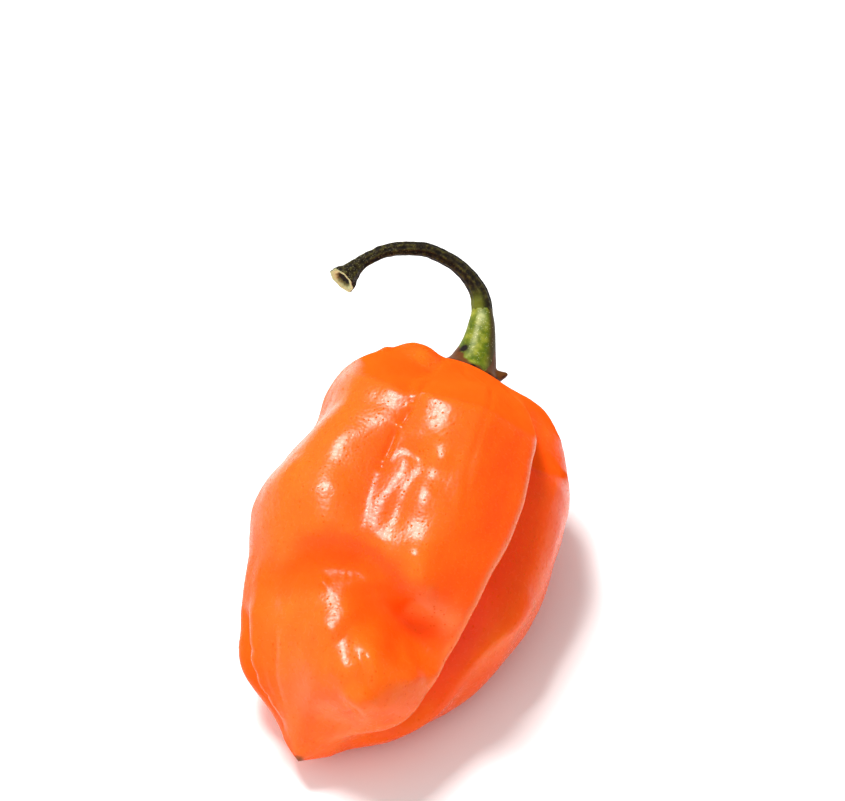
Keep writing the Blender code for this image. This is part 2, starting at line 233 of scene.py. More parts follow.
@dataclass(frozen=True)
class RipeSkin:
    """Ripe habanero skin under its own wax: clear orange flesh shows through, with a hard gloss.

    Its cells and pores break each highlight into fine grains. Its colour is painted deeper red in
    each furrow and hollow and on a band of the front lobe, as painted shade; its left side is
    painted lighter, as painted light; a painted sheen pales the lip's edge and the plain beside the
    pit; and the unwaxed skin is painted a deeper orange, as painted shade.
    """

    deep: str = "fb5305"
    body: str = "fc5c07"
    bright: str = "fd6709"
    # Painted shade: the deeper red laid in each furrow and hollow and on a band of the front lobe.
    furrow: str = "fa4a03"
    # Painted light: the lighter, yellower orange laid on the left side.
    painted_lit_side: str = "fe670f"
    # Painted shade: the deeper orange laid on the dull, unwaxed skin.
    matt_painted_shade: str = "fd5511"
    # Painted sheen: the salmon shine laid along the lip's edge and on the plain beside the pit.
    painted_sheen: str = "ff7a38"
    scar: str = "7d4018"
    pore: str = "f25505"
    mottle_mm: float = 11.0
    streak_mm: float = 2.4
    grain_mm: float = 0.42
    pore_mm: float = 0.75
    peel_mm: float = 1.9
    grain_deep_mm: float = 0.05
    row_deep_mm: float = 0.18
    peel_deep_mm: float = 0.14
    flesh_glow_mm: float = 1.8
    gloss: float = 0.32
    dull_gloss: float = 0.0

    def build(self, pose: LyingPose) -> bpy.types.Material:
        """Builds the material.

        Args:
            pose: how the pepper lies, so that streaks follow its spine.

        Returns:
            The finished material.
        """
        s = Shading("ripe_habanero_skin")
        turned = pose.rotation().transposed()
        where = s.node("TexCoord", out="Object")
        upright = s.node(
            "Mapping", Vector=where, Location=-(turned @ Vector(pose.tip_mm)) * MM,
            Rotation=turned.to_euler(),
        )
        lengthwise = s.node("Mapping", Vector=upright, Scale=(1.0, 1.0, 0.2))
        mottle = s.node("TexNoise", Vector=upright, Scale=per_metre(self.mottle_mm), Detail=2.0)
        streak = s.node("TexNoise", Vector=lengthwise, Scale=per_metre(self.streak_mm), Detail=3.0)
        most = s.node("Math", {"operation": "MULTIPLY"}, i0=mottle, i1=0.6)
        blend = s.node("Math", {"operation": "MULTIPLY_ADD"}, i0=streak, i1=0.4, i2=most)
        colour = s.ramp(blend, (0.4, self.deep), (0.5, self.body), (0.6, self.bright))
        # Painted light: the left side is laid lighter.
        colour = s.mixed(s.mark(Mark.PAINTED_LIT_SIDE), colour, self.painted_lit_side)
        # Painted shade in each furrow and hollow and on a band of the front lobe.
        colour = s.mixed(s.mark(Mark.HOLLOW_SHADE), colour, self.furrow)
        waxed = s.mark(Mark.WAX)
        # Painted shade where the skin is unwaxed; the wax mark also sets the gloss.
        unwaxed_shade = s.node("MapRange", Value=waxed, To_Min=0.9, To_Max=0.0)
        colour = s.mixed(unwaxed_shade, colour, self.matt_painted_shade)
        # Painted sheen on the lip's edge and the plain beside the pit.
        colour = s.mixed(s.mark(Mark.PAINTED_SHEEN), colour, self.painted_sheen)
        spots = s.node("TexVoronoi", Vector=upright, Scale=per_metre(self.pore_mm))
        pores = s.node("MapRange", Value=spots, From_Min=0.2, From_Max=0.12)
        colour = s.mixed(pores, colour, self.pore)
        colour = s.mixed(s.mark(Mark.SCAR), colour, self.scar)
        grain = s.node(
            "TexVoronoi", {"feature": "SMOOTH_F1"}, Vector=upright,
            Scale=per_metre(self.grain_mm), Smoothness=0.6,
        )
        peel = s.node("TexNoise", Vector=upright, Scale=per_metre(self.peel_mm), Detail=3.0)
        sunk = s.node("Math", {"operation": "MULTIPLY_ADD"}, i0=pores, i1=-1.5, i2=grain)
        fine = s.node("Bump", Strength=0.3, Distance=self.grain_deep_mm * MM, Height=sunk)
        rows = s.node(
            "Bump", Strength=0.25, Distance=self.row_deep_mm * MM, Height=streak, Normal=fine
        )
        coarse = s.node(
            "Bump", Strength=0.4, Distance=self.peel_deep_mm * MM, Height=peel, Normal=rows
        )
        waxy = s.node("MapRange", Value=grain, From_Min=0.0, From_Max=0.7, To_Min=0.16, To_Max=0.28)
        rough = s.node("Math", {"operation": "MULTIPLY_ADD"}, i0=pores, i1=0.6, i2=waxy)
        wax = s.node("MapRange", Value=waxed, To_Min=self.dull_gloss, To_Max=self.gloss)
        between = s.node("MapRange", Value=pores, To_Min=1.0, To_Max=0.05)
        shine = s.node("Math", {"operation": "MULTIPLY"}, i0=wax, i1=between)
        # The even gloss stays under the link, for a model that keeps no pattern of it.
        s.feed(s.shader, Specular_IOR_Level=self.gloss)
        s.feed(
            s.shader, Base_Color=colour, Roughness=rough, Normal=coarse, IOR=1.4,
            Specular_IOR_Level=shine, Subsurface_Weight=0.3,
            Subsurface_Radius=(1.0, 0.25, 0.06), Subsurface_Scale=self.flesh_glow_mm * MM,
        )
        return s.material


@dataclass(frozen=True)
class CalyxTissue:
    """Green calyx tissue: satin, speckled with pale breathing pores, brown where it has dried, with a
    painted highlight streak.
    """

    shade: str = "4b5f0c"
    body: str = "667412"
    light: str = "8c922f"
    speck: str = "cdd39c"
    sunny: str = "43370f"
    dried: str = "5c340f"
    burnt: str = "150e08"
    patch_mm: float = 1.0
    speck_mm: float = 0.3
    clump_mm: float = 1.1
    relief_mm: float = 0.5
    relief_deep_mm: float = 0.1
    glow_mm: float = 0.6

    def build(self) -> bpy.types.Material:
        """Builds the material, which reads the marks dried, burnt, sunny and pale; pale lays a painted
        highlight streak.
        """
        s = Shading("green_calyx_tissue")
        where = s.node("TexCoord", out="Object")
        patch = s.node("TexNoise", Vector=where, Scale=per_metre(self.patch_mm), Detail=4.0)
        colour = s.ramp(patch, (0.34, self.shade), (0.5, self.body), (0.7, self.light))
        # Painted highlight: the pale mark lays the speck colour in a streak, and thickens the specks.
        pale = s.mark(Mark.HIGHLIGHT_AND_SPECKS)
        streak = s.node("Math", {"operation": "MULTIPLY"}, i0=pale, i1=patch)
        colour = s.mixed(streak, colour, self.speck)
        colour = s.mixed(s.mark(Mark.SUNNY), colour, self.sunny)
        cells = s.node("TexVoronoi", Vector=where, Scale=per_metre(self.speck_mm))
        clump = s.node("TexNoise", Vector=where, Scale=per_metre(self.clump_mm), Detail=1.0)
        dots = s.node("MapRange", Value=cells, From_Min=0.34, From_Max=0.14)
        thick = s.node("MapRange", Value=clump, From_Min=0.45, From_Max=0.65, To_Max=0.35)
        often = s.node("Math", {"operation": "ADD"}, i0=thick, i1=pale)
        specks = s.node("Math", {"operation": "MULTIPLY"}, i0=dots, i1=often)
        colour = s.mixed(specks, colour, self.speck)
        colour = s.mixed(s.mark(Mark.DRIED), colour, self.dried)
        colour = s.mixed(s.mark(Mark.BURNT), colour, self.burnt)
        relief = s.node("TexNoise", Vector=where, Scale=per_metre(self.relief_mm), Detail=4.0)
        bump = s.node("Bump", Strength=0.5, Distance=self.relief_deep_mm * MM, Height=relief)
        s.feed(
            s.shader, Base_Color=colour, Roughness=0.5, Normal=bump, Specular_IOR_Level=0.14,
            Subsurface_Weight=0.1, Subsurface_Radius=(0.4, 0.8, 0.1), Subsurface_Scale=self.glow_mm * MM,
        )
        return s.material


@dataclass(frozen=True)
class StemBark:
    """Drying pepper stalk: dark olive skin over ribs, purple-black on its sunny side, corky flecks."""

    dark: str = "0d0904"
    body: str = "21190a"
    olive: str = "403c14"
    green: str = "66701a"
    fleck: str = "857f5a"
    patch_mm: float = 0.55
    fleck_mm: float = 0.26
    relief_deep_mm: float = 0.12

    def build(self) -> bpy.types.Material:
        """Builds the material, which reads the marks along, rib and green."""
        s = Shading("stem_bark")
        where = s.node("TexCoord", out="Object")
        patch = s.node("TexNoise", Vector=where, Scale=per_metre(self.patch_mm), Detail=5.0)
        tone = s.node("Math", {"operation": "MULTIPLY_ADD"}, i0=s.mark(Mark.RIB), i1=0.16, i2=patch)
        colour = s.ramp(tone, (0.42, self.dark), (0.58, self.body), (0.78, self.olive))
        colour = s.mixed(s.mark(Mark.GREEN), colour, self.green)
        cells = s.node("TexVoronoi", Vector=where, Scale=per_metre(self.fleck_mm))
        dots = s.node("MapRange", Value=cells, From_Min=0.34, From_Max=0.1)
        amount = s.node(
            "MapRange", Value=s.mark(Mark.ALONG), From_Min=0.4, From_Max=0.95, To_Min=0.12,
            To_Max=0.75,
        )
        flecks = s.node("Math", {"operation": "MULTIPLY"}, i0=dots, i1=amount)
        colour = s.mixed(flecks, colour, self.fleck)
        bump = s.node("Bump", Strength=0.7, Distance=self.relief_deep_mm * MM, Height=patch)
        s.feed(s.shader, Base_Color=colour, Roughness=0.6, Normal=bump, Specular_IOR_Level=0.12)
        return s.material


@dataclass(frozen=True)
class CutPith:
    """The stalk's cut face: a pale woody ring round brown pith that has dried and shrunk back, painted
    darker the deeper it lies, as painted shade in the hollow.
    """

    ring: str = "c3c68c"
    middle: str = "7f7a45"
    # Painted shade: the near-black laid at the bottom of the hollow.
    hollow: str = "1c160b"
    fibre_mm: float = 0.35
    fibre_deep_mm: float = 0.12

    def build(self) -> bpy.types.Material:
        """Builds the material, which reads the mark depth, 0 at the rim, and darkens the colour with it
        as painted shade.
        """
        s = Shading("cut_stalk_pith")
        where = s.node("TexCoord", out="Object")
        depth = s.mark(Mark.DEPTH_SHADE)
        fibre = s.node("TexNoise", Vector=where, Scale=per_metre(self.fibre_mm), Detail=4.0)
        tone = s.node("Math", {"operation": "MULTIPLY_ADD"}, i0=fibre, i1=0.5, i2=depth)
        colour = s.ramp(tone, (0.28, self.ring), (0.5, self.middle), (0.8, self.hollow))
        bump = s.node("Bump", Strength=0.8, Distance=self.fibre_deep_mm * MM, Height=fibre)
        s.feed(s.shader, Base_Color=colour, Roughness=0.8, Normal=bump)
        return s.material


@dataclass(frozen=True)
class WhiteTable:
    """White laminate table top, matt, with the faint unevenness of a sprayed surface."""

    low: str = "f4f4f4"
    high: str = "fafafa"
    cloud_mm: float = 40.0

    def build(self) -> bpy.types.Material:
        """Builds the material."""
        s = Shading("white_laminate")
        where = s.node("TexCoord", out="Object")
        cloud = s.node("TexNoise", Vector=where, Scale=per_metre(self.cloud_mm))
        colour = s.ramp(cloud, (0.4, self.low), (0.6, self.high))
        s.feed(s.shader, Base_Color=colour, Roughness=0.75)
        return s.material


@dataclass(frozen=True)
class Fold:
    """One fold of the skin, along a route of (down, turn, depth).

    Down is the percentage of the way from seat to tip, turn the angle round the spine in degrees,
    0 in front and 90 at the right, and depth is out of the skin in mm, below zero for a furrow.
    Going along the route it reaches left_mm and right_mm to its sides.
    """

    name: str
    route: tuple[tuple[float, float, float], ...]
    left_mm: float
    right_mm: float
    edge: float = 1.8

    def height(self, points: Array, normals: Array, blank: "Blank") -> Array:
        """How far this fold moves each point of the blank out along its normal.

        Args:
            points: the blank's points.
            normals: their outward directions.
            blank: the skin that the route runs on.

        Returns:
            One distance in millimetres for each point.
        """
        route = np.array(self.route, float)
        if len(route) > 1:
            places = np.linspace(0, len(route) - 1, 8 * len(route))
            route = curve_through(np.arange(len(route)), route, places)
        line = blank.point(route[:, 0] / 100, np.radians(route[:, 1]))
        reach_most = 3.2 * max(self.left_mm, self.right_mm)
        low, high = line.min(0) - reach_most, line.max(0) + reach_most
        near = np.flatnonzero(((points > low) & (points < high)).all(axis=1))
        out = np.zeros(len(points))
        close, facing = points[near], normals[near]
        square = (close**2).sum(1)[:, None] - 2 * close @ line.T + (line**2).sum(1)[None, :]
        nearest = square.argmin(axis=1)
        offset = close - line[nearest]
        square = (offset**2).sum(1)
        reach = self.left_mm
        if len(line) > 1:
            forward = np.gradient(line, axis=0)
            forward /= np.linalg.norm(forward, axis=1)[:, None]
            step = np.linalg.norm(np.diff(line, axis=0), axis=1).max() / 2
            ahead = np.clip(np.einsum("ij,ij->i", offset, forward[nearest]), -step, step)
            inside = (nearest > 0) & (nearest < len(line) - 1)
            square = square - np.where(inside, ahead, 0) ** 2
            beside = np.einsum("ij,ij->i", offset, np.cross(facing, forward[nearest]))
            side = 0.5 + 0.5 * np.tanh(beside / (0.35 * min(self.left_mm, self.right_mm)))
            reach = self.left_mm + (self.right_mm - self.left_mm) * side
        away = np.sqrt(np.maximum(square, 0)) / reach
        out[near] = route[nearest, 2] * np.exp(-(away**self.edge))
        return out


def knob(name: str, down: float, turn: float, height_mm: float, reach_mm: float) -> Fold:
    """A round swell of the skin, or a dent where height_mm is below zero."""
    return Fold(name, ((down, turn, height_mm),), reach_mm, reach_mm, 2.0)


@dataclass(frozen=True)
class Blank:
    """The fruit before its folds. Each row: height, then how far the skin stands out
    left, right, front and back of the spine, in mm, from the calyx seat to the blossom tip."""

    rows: tuple[tuple[float, ...], ...] = (
        (57.4, 0.0, 0.0, 0.0, 0.0),
        (57.4, 4.3, 4.3, 4.3, 4.3),
        (56.5, 7.6, 8.6, 5.6, 7.2),
        (54.9, 11.0, 11.6, 7.9, 9.8),
        (52.4, 13.8, 14.4, 11.1, 12.0),
        (49.4, 15.3, 16.5, 15.0, 13.4),
        (45.8, 15.8, 18.2, 18.3, 13.8),
        (41.0, 15.4, 19.2, 18.8, 13.8),
        (34.4, 16.9, 19.7, 18.3, 13.2),
        (27.4, 17.9, 19.7, 18.1, 12.0),
        (20.4, 15.6, 17.8, 17.0, 10.4),
        (13.4, 13.0, 14.6, 14.0, 8.8),
        (7.4, 9.8, 10.2, 9.5, 6.2),
        (3.6, 4.8, 5.0, 4.6, 3.4),
        (1.2, 1.9, 1.6, 1.8, 1.3),
        (0.0, 0.0, 0.0, 0.0, 0.0),
    )
    lean: float = 0.21
    lean_from_mm: float = 36.0

    def seat_height(self) -> float:
        """Height of the calyx seat up the spine."""
        return self.rows[0][0]

    def point(self, share: Array, turn: Array) -> Array:
        """Points of the skin.

        Args:
            share: how far down from the seat, 0 to 1.
            turn: angle round the spine in radians, 0 in front and a quarter turn at the right.

        Returns:
            Rows of x, y, z in millimetres.
        """
        rows = np.array(self.rows)
        profile = np.stack((rows[:, 0], rows[:, 1:].mean(axis=1)), axis=1)
        steps = np.linalg.norm(np.diff(profile, axis=0), axis=1)
        knots = np.concatenate(((0.0,), np.cumsum(steps))) / steps.sum()
        height, left, right, front, back = curve_through(knots, rows, share).T
        across, outward = np.sin(turn), np.cos(turn)
        x = across * np.where(across > 0, right, left)
        y = -outward * np.where(outward > 0, front, back)
        rise = rising(height, self.lean_from_mm, self.seat_height())
        return np.stack((x, y, height + self.lean * y * rise), axis=1)


MAIN_FOLDS = (
    Fold(
        "right furrow",
        ((12, 42, 0), (18, 46, -1.4), (25, 45.5, -2.6), (34, 44, -3.4), (42, 46, -3.4),
         (50, 46, -3.6), (57, 44.5, -4), (63, 46.5, -4.2), (68, 50.5, -3.8), (73, 54.5, -3.2),
         (78, 59, -2.8), (83, 63, -2.2), (88, 61, -1.5), (92, 53, -0.6), (95, 42, 0)),
        1.7, 4.6, 1.7,
    ),
    Fold(
        "lip of the right furrow",
        ((10, 34, 0), (18, 38.5, 0.5), (25, 38, 0.8), (34, 37, 0.8), (42, 38.5, 0.8),
         (50, 38.5, 0.9), (57, 36, 1.1), (63, 38, 1.3), (68, 42, 1.5), (73, 46, 1.4), (78, 51, 1.3),
         (83, 54, 1.2), (88, 49, 1), (92, 36, 0.6), (95, 20, 0)),
        2.4, 1.8, 1.8,
    ),
    Fold(
        "flat face between the left and the front lobe",
        ((8, -28, 0), (14, -28, -0.8), (24, -27, -1.1), (36, -24, -1.3), (47, -19, -1.6),
         (55, -14, -1.8), (60, -11, -1.6), (64, -8, -1), (68, -4, 0)),
        6.0, 5.6, 2.6,
    ),
    Fold(
        "shoulder of the left lobe",
        ((10, -66, 0), (12, -54, 1.6), (13, -42, 2), (12, -28, 1.5), (9.5, -14, 0)),
        3.0, 3.0, 2.0,
    ),
    knob("dent of the front lobe", 46, 6, -0.5, 3.6),
    knob("swell of the front lobe", 62, 14, 0.9, 4.0),
    Fold(
        "left furrow",
        ((8, -24, 0), (16, -25, -0.35), (24.5, -25, -0.5), (36, -22, -0.5), (47, -20, -0.4),
         (55, -17.5, -0.3), (60, -15.5, -0.35), (63.6, -12, -0.4), (66, -8, -0.2), (68, -4, 0)),
        1.8, 1.5, 1.7,
    ),
    Fold(
        "crescent hollow",
        ((76, -62, 0), (73.5, -59, -0.8), (71, -54, -1.5), (69.2, -42, -2.1), (67.8, -31, -2.4),
         (67.2, -19.5, -2.5), (67.8, -8.5, -2.6), (69.4, 1, -2.9), (71.6, 11, -3.2), (72.4, 22, -3.4),
         (71.8, 32, -2.8), (70.8, 39, -1.3), (69.5, 46, 0)),
        3.9, 3.2, 2.0,
    ),
    knob("dome in the hollow", 81.2, 8, 3.2, 5.2),
    knob("knob on the dome", 83, 16, 0.5, 3.0),
    Fold(
        "plain under the pit",
        ((85, 18, 0.3), (84, 26, 1.3), (82, 34, 1.5), (79, 41, 0.8), (77, 46, 0)),
        3.4, 3.4, 2.0,
    ),
    Fold(
        "ridge under the pit",
        ((80, 5, 0), (78.4, 18, 0.9), (77, 30, 1.3), (75.4, 38, 1.2), (74, 44, 0.6), (73, 48, 0)),
        1.8, 1.8, 1.8,
    ),
    Fold(
        "crest of the left lobe",
        ((10, -56, 0), (18, -52, 0.6), (28, -50, 0.8), (38, -49, 0.8), (46, -51, 0.8),
         (52, -57, 0.8), (58, -64, 0.6), (63, -69, 0.3), (68, -72, 0)),
        4.0, 5.0, 2.0,
    ),
    knob("belly of the left lobe", 61, -35, 0.6, 6.5),
    Fold(
        "front of the left edge",
        ((66, -70, 0), (71, -67, 0.5), (76, -65, 0.8), (82, -63, 0.9), (88, -64, 0.6),
         (93, -62, 0)),
        1.8, 1.8, 1.8,
    ),
    Fold(
        "crease of the left edge",
        ((72, -90, 0), (75, -84, -0.9), (78, -79, -1.7), (84, -76, -1.8), (90, -80, -1),
         (94, -76, -0.4), (96, -74, 0)),
        2.4, 1.2, 1.7,
    ),
    knob("small lobe behind the left edge", 79, -100, 0.9, 4.5),
    Fold(
        "crest of the lower right lobe",
        ((52, 70, 0), (58, 67, 0.8), (63, 64, 1), (67, 63.5, 1.1), (71, 66, 1.1), (75, 72, 1.2),
         (79, 78, 1.3), (84, 80, 1.2), (88, 82, 0.8), (92, 82, 0)),
        1.8, 1.8, 1.8,
    ),
    Fold(
        "ridge down to the tip",
        ((80, -8, 0), (86, -10, 0.5), (92, -12, 0.6), (97, -10, 0)),
        1.6, 1.6, 1.8,
    ),
    Fold(
        "middle of the front lobe",
        ((12, 16, 0), (18, 17, 0.1), (26, 18, 0.2), (39, 20, 0.4), (49, 22, 0.7), (57, 24, 0.9),
         (64, 27, 0.8), (67, 30, 0.4), (69, 32, 0)),
        5.5, 4.5, 2.0,
    ),
    Fold(
        "facet line of the front lobe",
        ((14, 10, 0), (24, 11.5, 0.35), (39, 13.5, 0.4), (49, 15, 0.4), (57, 18, 0)),
        1.6, 1.6, 1.3,
    ),
    Fold(
        "swell of the right shoulder",
        ((10, 58, 0.4), (14, 63, 1.2), (18, 67, 1.2), (22, 70, 0.5), (26, 73, 0)),
        3.6, 5.0, 2.0,
    ),
    Fold(
        "back furrow, right",
        ((10, 112, 0), (20, 112, -1.6), (36, 115, -2.4), (52, 118, -2.2), (66, 122, -1.5),
         (80, 120, -0.6), (86, 118, 0)),
        3.0, 3.0, 1.7,
    ),
    Fold(
        "back furrow, left",
        ((10, -100, 0), (20, -104, -1.4), (36, -112, -2.4), (52, -120, -2.6), (66, -128, -1.8),
         (78, -134, -0.8), (85, -136, 0)),
        3.2, 3.2, 1.7,
    ),
    Fold(
        "back furrow, middle",
        ((10, 175, 0), (20, 178, -1.2), (34, 178, -1.6), (50, 172, -1.2), (64, 168, -0.4),
         (72, 165, 0)),
        3.0, 3.0, 1.7,
    ),
)


# Finer forms, on top of the main folds.
FINE_FOLDS = (
    Fold(
        "sharp crease between the lobes",
        ((21, -15.5, 0), (23.5, -16.5, -0.3), (28, -17, -0.3), (30.3, -18.5, -0.32),
         (33.7, -20.5, -0.38), (34.9, -20.8, -0.02), (36.4, -21, -0.42), (38.6, -21.5, -0.42),
         (39.6, -21.8, -0.06), (41.1, -22, -0.44), (43, -21, -0.44), (45.5, -20.5, -0.4),
         (46.5, -20.2, -0.05), (47.2, -20, -0.3), (48.5, -19.5, 0)),
        0.6, 0.75, 1.4,
    ),
    Fold(
        "rim of the crease",
        ((35.5, -18.4, 0), (36.6, -18.6, 0.22), (38.6, -19.1, 0.24), (39.7, -19.4, 0),
         (41.1, -19.6, 0.26), (43, -18.6, 0.26), (45.5, -18.1, 0.22), (47, -17.8, 0)),
        0.5, 0.6, 2.0,
    ),
    knob("bridge of the crease", 34.9, -20.4, 0.25, 0.45),
    knob("lower bridge of the crease", 39.7, -21.4, 0.22, 0.4),
    Fold(
        "step between the upper and the lower shine",
        ((42.5, -16, 0), (43.5, -12, -0.3), (44.2, -6, -0.35), (44.5, 0, 0)),
        1.1, 1.1, 2.0,
    ),
    Fold(
        "back of the left shine",
        ((49, -55, 0), (53, -53, 0.5), (57, -51, 0.4), (61, -49, 0)),
        3.0, 3.0, 2.0,
    ),
    knob("top of the left shine", 44.8, -40, 0.35, 2.4),
    Fold(
        "dent beside the lower shine",
        ((40, 0, 0), (44.5, -2.5, -0.3), (51, -4.5, -0.45), (56, -4, -0.3), (60, -1, 0)),
        1.7, 1.5, 2.0,
    ),
    knob("small knob of the front lobe", 43.8, 4, 0.3, 1.2),
    knob("knob under the lower shine", 61, 8, 0.3, 1.3),
    knob("last knob of the front lobe", 64.4, 14, 0.5, 1.5),
    Fold(
        "scratch down the front lobe",
        ((15, 15.5, 0), (21, 13.5, -0.2), (28, 12.8, -0.26), (35, 12.5, -0.18), (43, 13.6, -0.24),
         (48, 15.6, -0.14), (53, 18, 0)),
        0.5, 0.45, 1.5,
    ),
    knob("cheek right of the dome", 78.5, 23, 1.0, 4.5),
    Fold(
        "shelf of the dome",
        ((75.5, -24, 0), (76.4, -17, 0.45), (76.6, -10, 0.45), (77, -4, 0)),
        1.7, 1.7, 2.0,
    ),
    knob("top of the dome", 73.6, -7, 0.4, 1.3),
    Fold("left shine of the dome", ((71, -28, 0), (70.2, -27, 0.35), (69.2, -25, 0)), 1.1, 1.1),
    Fold(
        "slanted knob",
        ((78.6, 9, 0), (77.4, 11, 1.0), (75.6, 13, 1.0), (73.8, 15, 0)),
        1.4, 1.4, 2.0,
    ),
    knob("round knob", 80.6, 3, 0.6, 1.5),
    Fold(
        "lower slanted knob",
        ((84.6, 11.5, 0), (83.4, 13.5, 1.0), (82, 16, 0.9), (81, 18, 0)),
        1.3, 1.3, 2.0,
    ),
    Fold(
        "ripple under the pit",
        ((73.4, 24, 0), (75, 27, 0.4), (75.4, 31, 0.3), (74.8, 34, 0)),
        0.8, 0.8,
    ),
    Fold("second ripple", ((75, 31, 0), (76.2, 33, 0.3), (76.4, 37, 0.2), (76, 40, 0)), 0.6, 0.6),
    Fold(
        "upper crinkle",
        ((84.3, 13, 0), (83.9, 17, 0.3), (84.2, 21, 0.3), (83.4, 25, 0)),
        0.5, 0.7, 1.6,
    ),
    Fold("lower crinkle", ((86, 9, 0), (85.6, 13, 0.25), (85.2, 18, 0)), 0.5, 0.7, 1.6),
    Fold(
        "wrinkle left of the tip",
        ((77, -47, 0), (82, -46, -0.25), (88, -47, -0.3), (93, -46, 0)),
        0.9, 0.6, 1.6,
    ),
    Fold(
        "outer wrinkle",
        ((79, -57, 0), (84, -56, -0.2), (89, -57, -0.25), (93, -55, 0)),
        0.8, 0.6, 1.6,
    ),
    Fold(
        "upper nick of the left edge",
        ((80, -72, 0), (81.5, -65, -0.3), (82.5, -60, 0)),
        0.5, 0.5, 1.6,
    ),
    Fold(
        "middle nick of the left edge",
        ((83.5, -74, 0), (84.8, -67, -0.35), (86, -61, 0)),
        0.5, 0.5, 1.6,
    ),
    Fold(
        "lower nick of the left edge",
        ((87.5, -76, 0), (88.6, -68, -0.3), (90, -62, 0)),
        0.5, 0.5, 1.6,
    ),
    knob("first shoulder knob", 10.6, -46, 0.8, 0.9),
    knob("second shoulder knob", 10.4, -66, 0.9, 0.9),
    knob("third shoulder knob", 10.8, -86, 0.8, 0.9),
    knob("knob of the left shoulder", 17.5, -56, 0.4, 0.9),
    Fold(
        "furrow behind the front shoulder",
        ((9, -30, 0), (12, -24, -0.5), (16, -22, -0.6), (21, -20.5, 0)),
        1.0, 0.8, 1.7,
    ),
    Fold(
        "pleat beside the calyx",
        ((8, 30, 0), (11, 33, -0.45), (15, 35, -0.35), (19, 36, 0)),
        0.9, 0.9, 1.8,
    ),
)


# Strokes of painted shade and painted sheen, whose depths are amounts.
CRESCENT_SHADE = Fold(
    "shade of the crescent",
    ((66, -50, 0), (64.5, -38.5, 0.6), (62.8, -24, 0.8), (62.6, -14, 0.9), (63.5, -4, 1),
     (65.6, 5, 1), (68.2, 12, 1), (69.6, 23, 1), (69.2, 32.5, 1), (69.2, 38, 0.5)),
    1.7, 1.5, 2.0,
)
# Painted shade along the right flank of the front lobe, which turns away from the light.
SHADE_BAND = Fold(
    "shade band of the front lobe",
    ((20, 29, 0), (26, 28, 0.5), (34, 27, 0.6), (44, 27, 0.6), (54, 28, 0.5), (62, 31, 0.4),
     (66, 33, 0)),
    3.2, 2.6, 2.0,
)
# Painted sheen on the plain beside the pit.
SHEEN_PLAIN = Fold(
    "painted sheen beside the pit",
    ((68.6, 15, 0), (68.4, 19, 0.7), (67.6, 26.5, 0.8), (67, 35.5, 0.8), (66.5, 39, 0)),
    1.5, 1.5, 2.0,
)


def fold_named(name: str) -> Fold:
    """The main fold of that name."""
    return next(fold for fold in MAIN_FOLDS if fold.name == name)


def ball(around: int, along: int) -> tuple[bmesh.types.BMesh, Array, Array]:
    """A ball to be shaped, pole to pole.

    Args:
        around: segments round the ball.
        along: rings from pole to pole.

    Returns:
        The bmesh, the row of each vertex (0 at the first pole), and its turn in radians.
    """
    bm = bmesh.new()
    bmesh.ops.create_uvsphere(bm, u_segments=around, v_segments=along, radius=1.0)
    co = np.array([v.co for v in bm.verts])
    row = np.arccos(np.clip(co[:, 2], -1, 1)) / math.pi * along
    return bm, row, np.arctan2(co[:, 0], -co[:, 1])


def move_to(bm: bmesh.types.BMesh, points: Array) -> None:
    """Moves each vertex to its point, and keeps the faces pointing out."""
    for vert, point in zip(bm.verts, points):
        vert.co = point
    if bm.calc_volume(signed=True) < 0:
        bmesh.ops.reverse_faces(bm, faces=bm.faces)


def places(bm: bmesh.types.BMesh) -> Array:
    """Rows of x, y, z of the vertices."""
    return np.array([v.co for v in bm.verts])


def smoothed(bm: bmesh.types.BMesh, verts: list[bmesh.types.BMVert], passes: int) -> None:
    """Relaxes the vertices towards their neighbours a number of times."""
    for _ in range(passes):
        bmesh.ops.smooth_vert(
            bm, verts=verts, factor=0.5, use_axis_x=True, use_axis_y=True, use_axis_z=True
        )


def piece(
    name: str,
    bm: bmesh.types.BMesh,
    pose: LyingPose,
    material: bpy.types.Material,
    marks: dict[Mark, Array],
) -> bpy.types.Object:
    """Makes a shaded object of the upright bmesh, laid down in the frame.

    Args:
        name: the piece's name.
        bm: the mesh in upright millimetres, which is freed.
        pose: how the pepper lies.
        material: its finish.
        marks: values of 0 to 1 for each vertex, kept as attributes that the finish reads.

    Returns:
        The new object, at the origin.
    """
    bmesh.ops.transform(bm, matrix=pose.matrix(), verts=bm.verts)
    mesh = bpy.data.meshes.new(name)
    bm.to_mesh(mesh)
    bm.free()
    mesh.shade_smooth()
    for mark, values in marks.items():
        attribute = mesh.attributes.new(mark.value, "FLOAT", "POINT")
        attribute.data.foreach_set("value", np.clip(values, 0, 1).astype(np.float32))
    mesh.materials.append(material)
    made = bpy.data.objects.new(name, mesh)
    bpy.context.scene.collection.objects.link(made)
    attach(made, "root")
    LOG.info("%s: %d faces", name, len(mesh.polygons))
    return made


